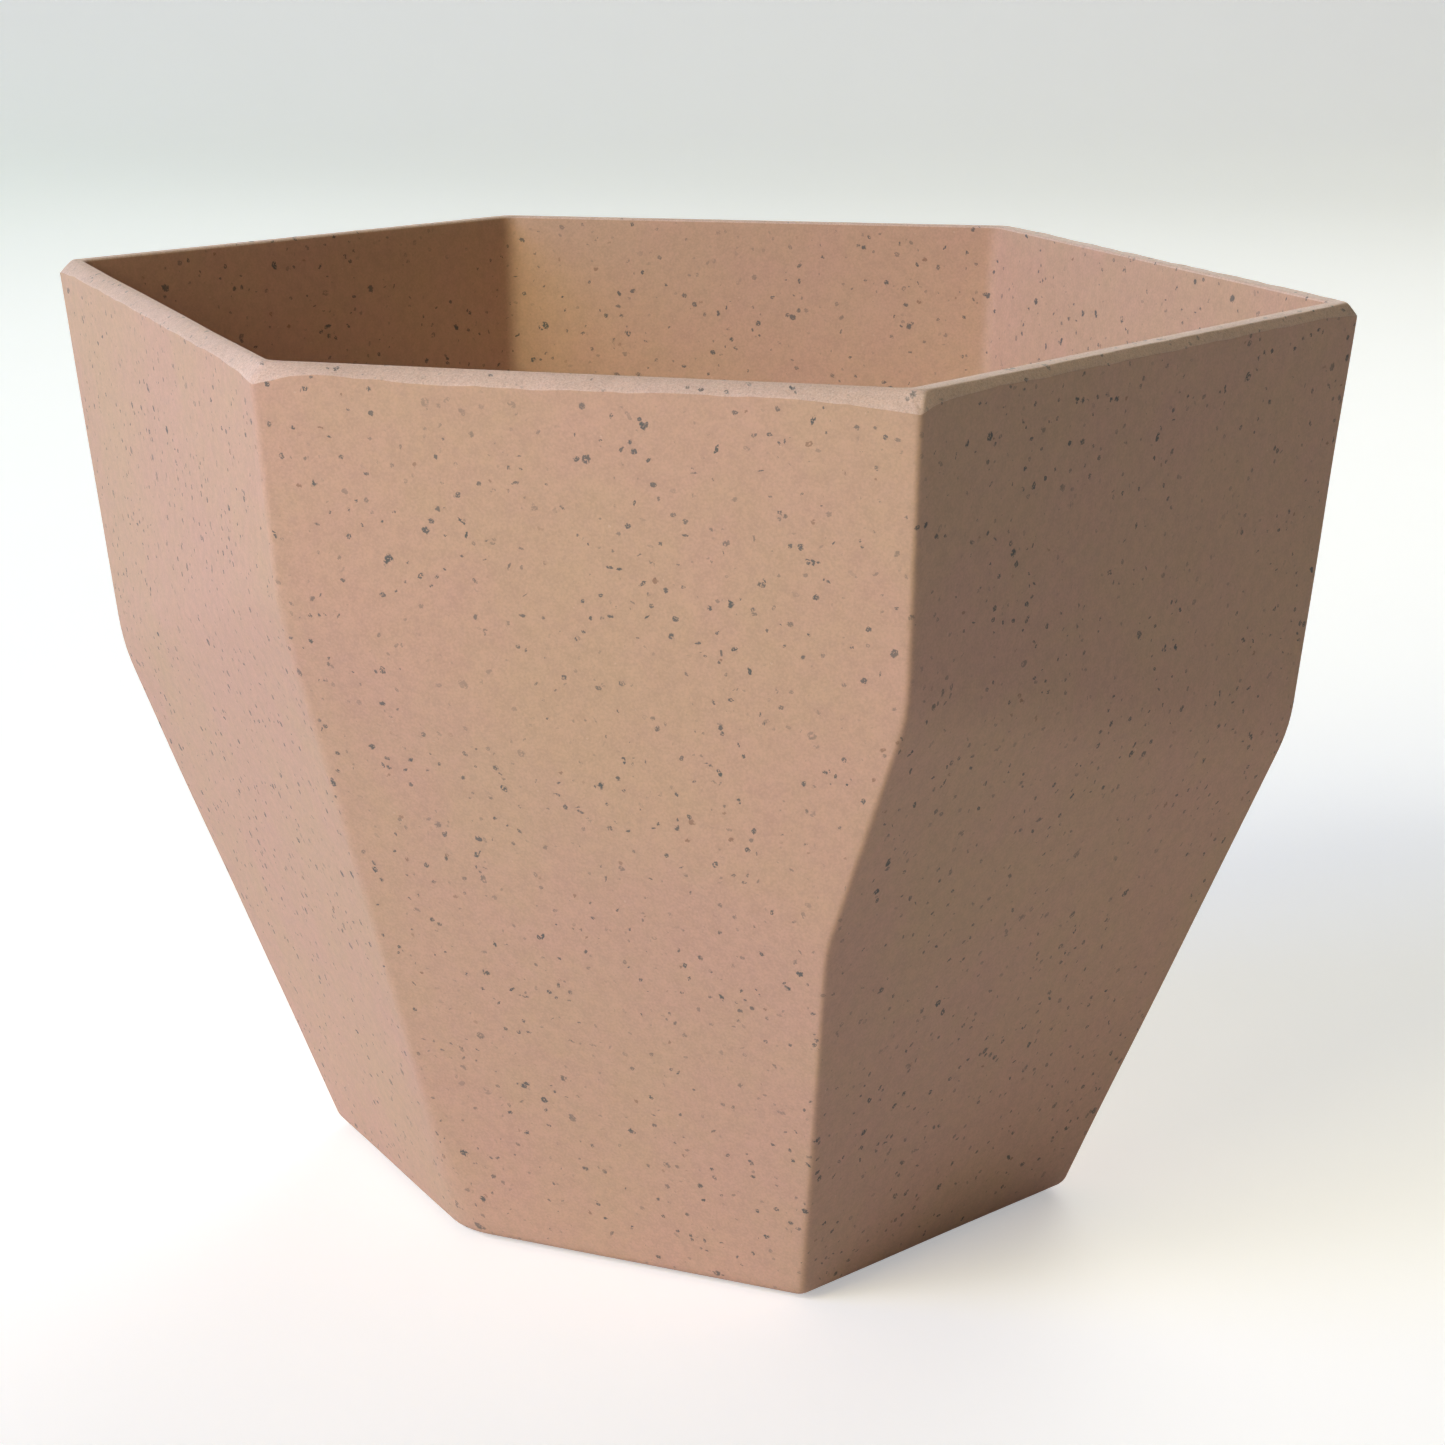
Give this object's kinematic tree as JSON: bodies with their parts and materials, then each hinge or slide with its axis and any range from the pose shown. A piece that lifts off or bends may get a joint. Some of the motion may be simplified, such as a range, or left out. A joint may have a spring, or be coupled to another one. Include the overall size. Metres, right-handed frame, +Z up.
{
  "type": "plant pot",
  "caption": "Open hexagonal faceted plant pot in speckled cast composite, tapering to a smaller foot, with a push-in drain plug and small foot pads.",
  "frame": {"origin": "under the middle of the rim's box, on the surface that the foot pads stand on", "axes": "+Z up through the open rim, -Y towards the widest flat wall at the front, +X along the rim's widest corner-to-corner line"},
  "size_m": [0.1448, 0.1398, 0.1024],
  "materials": {
    "shell": "matte blush-terracotta mineral composite with fine dark flecks, sanded rim",
    "plug": "matte soft moulded rubber",
    "pad": "fine-grained natural cork"
  },
  "bodies": {
    "pot": {"pot_shell": "shell", "foot_pad_1": "pad", "foot_pad_2": "pad", "foot_pad_3": "pad", "foot_pad_4": "pad", "foot_pad_5": "pad", "foot_pad_6": "pad"},
    "plug": {"drain_plug": "plug"}
  },
  "joints": [
    {"name": "plug_lift", "type": "slide", "parent": "pot", "child": "plug", "axis": [0, 0, 1], "range_m": [0, 0.105]}
  ]
}
